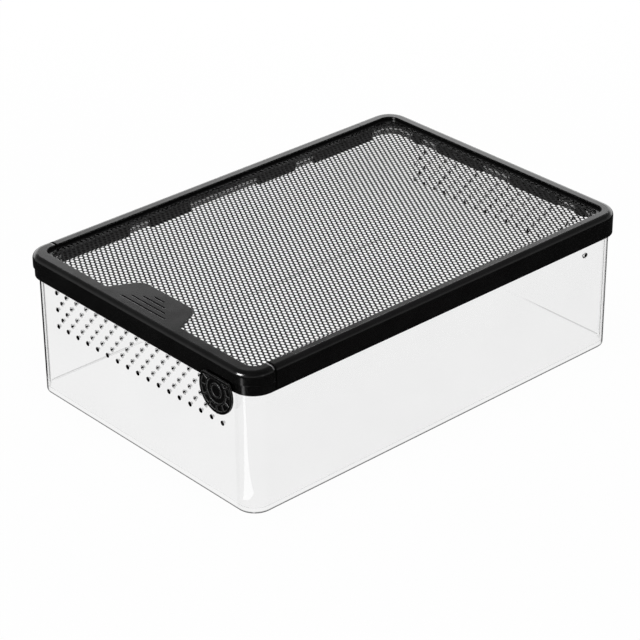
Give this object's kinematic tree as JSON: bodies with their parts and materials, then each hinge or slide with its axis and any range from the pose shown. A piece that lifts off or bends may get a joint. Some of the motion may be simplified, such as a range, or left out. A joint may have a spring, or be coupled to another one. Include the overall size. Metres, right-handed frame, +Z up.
{
  "type": "plastic pet keeper",
  "caption": "Clear rectangular pet keeper with vented ends, a black rim frame, a mesh lid that slides out of it and a turning lock knob.",
  "frame": {"origin": "centre of the tub's underside", "axes": "+Z up, X along the length with -X the short end with the thumb tab and the knob, -Y the long side next to the knob"},
  "size_m": [0.3212, 0.2186, 0.0985],
  "materials": {
    "clear_plastic": "clear polished",
    "black_plastic": "satin moulded",
    "mesh_metal": "black coated perforated sheet"
  },
  "bodies": {
    "tub": {"tub": "clear_plastic"},
    "rim": {"outer_rim": "black_plastic", "guide_ring": "black_plastic", "rail_strip_left": "black_plastic", "rail_strip_right": "black_plastic"},
    "lid": {"end_cap": "black_plastic", "lid_frame": "black_plastic", "mesh_sheet": "mesh_metal", "mesh_strip_left": "black_plastic", "mesh_strip_right": "black_plastic", "mesh_strip_front": "black_plastic", "mesh_strip_rear": "black_plastic"},
    "knob": {"lock_knob": "black_plastic", "knob_retainer": "black_plastic"}
  },
  "joints": [
    {"name": "frame_lift", "type": "slide", "parent": "tub", "child": "rim", "axis": [0, 0, 1], "range_m": [0, 0.04]},
    {"name": "lid_slide", "type": "slide", "parent": "rim", "child": "lid", "axis": [-1, 0, 0], "range_m": [0, 0.33]},
    {"name": "knob_turn", "type": "hinge", "parent": "tub", "child": "knob", "pos_m": [-0.158, -0.0804, 0.0788], "axis": [-1, 0, 0], "range_deg": [0, 180]}
  ]
}
